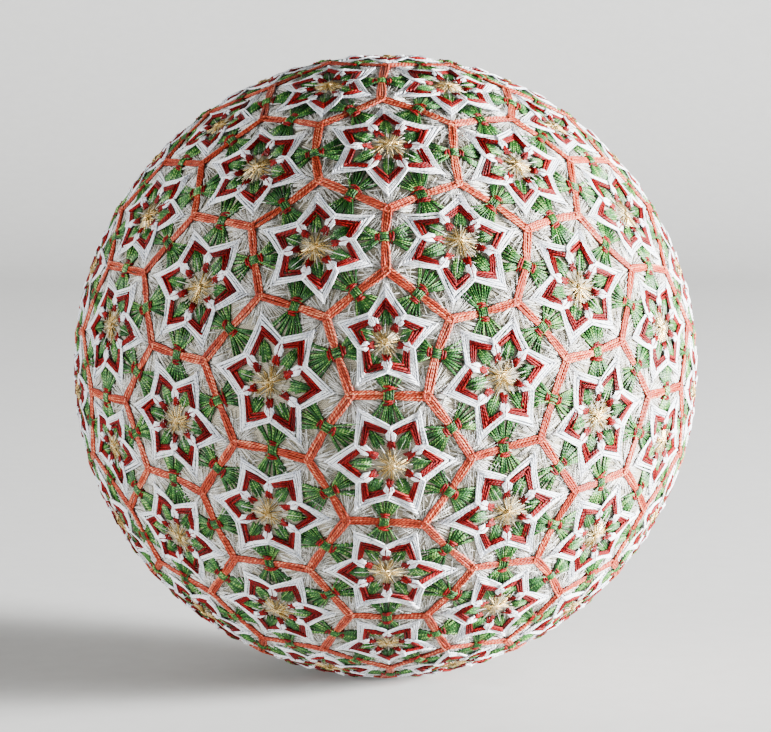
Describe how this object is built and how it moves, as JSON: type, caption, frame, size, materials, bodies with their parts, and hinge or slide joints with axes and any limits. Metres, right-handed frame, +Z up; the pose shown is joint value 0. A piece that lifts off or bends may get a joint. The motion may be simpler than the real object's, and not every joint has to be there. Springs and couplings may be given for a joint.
{
  "type": "temari ball",
  "caption": "Firm round thread ball, stitched all over with white and red stars between coral three-winged lines.",
  "frame": {"origin": "middle of the flat spot that the ball rests on", "axes": "+Z up through the middle of the six-pointed star opposite the flat spot; -Y towards the five-pointed star nearest the picture's view; +X to the right of it"},
  "size_m": [0.0998, 0.0994, 0.0995],
  "materials": {
    "stitched_thread": "cotton thread, matt to silky, in white, red, coral, green and gold rows",
    "wound_thread": "fine matt cream cotton thread wound in every direction",
    "white_cotton": "two-ply white cotton with a soft sheen",
    "red_cotton": "two-ply red cotton with a soft sheen",
    "coral_cotton": "two-ply coral cotton with a silky sheen",
    "green_thread": "green thread with a fine metallic glint",
    "gold_thread": "metallic gold thread"
  },
  "bodies": {
    "root": {"temari_ball": "stitched_thread"}
  },
  "joints": []
}
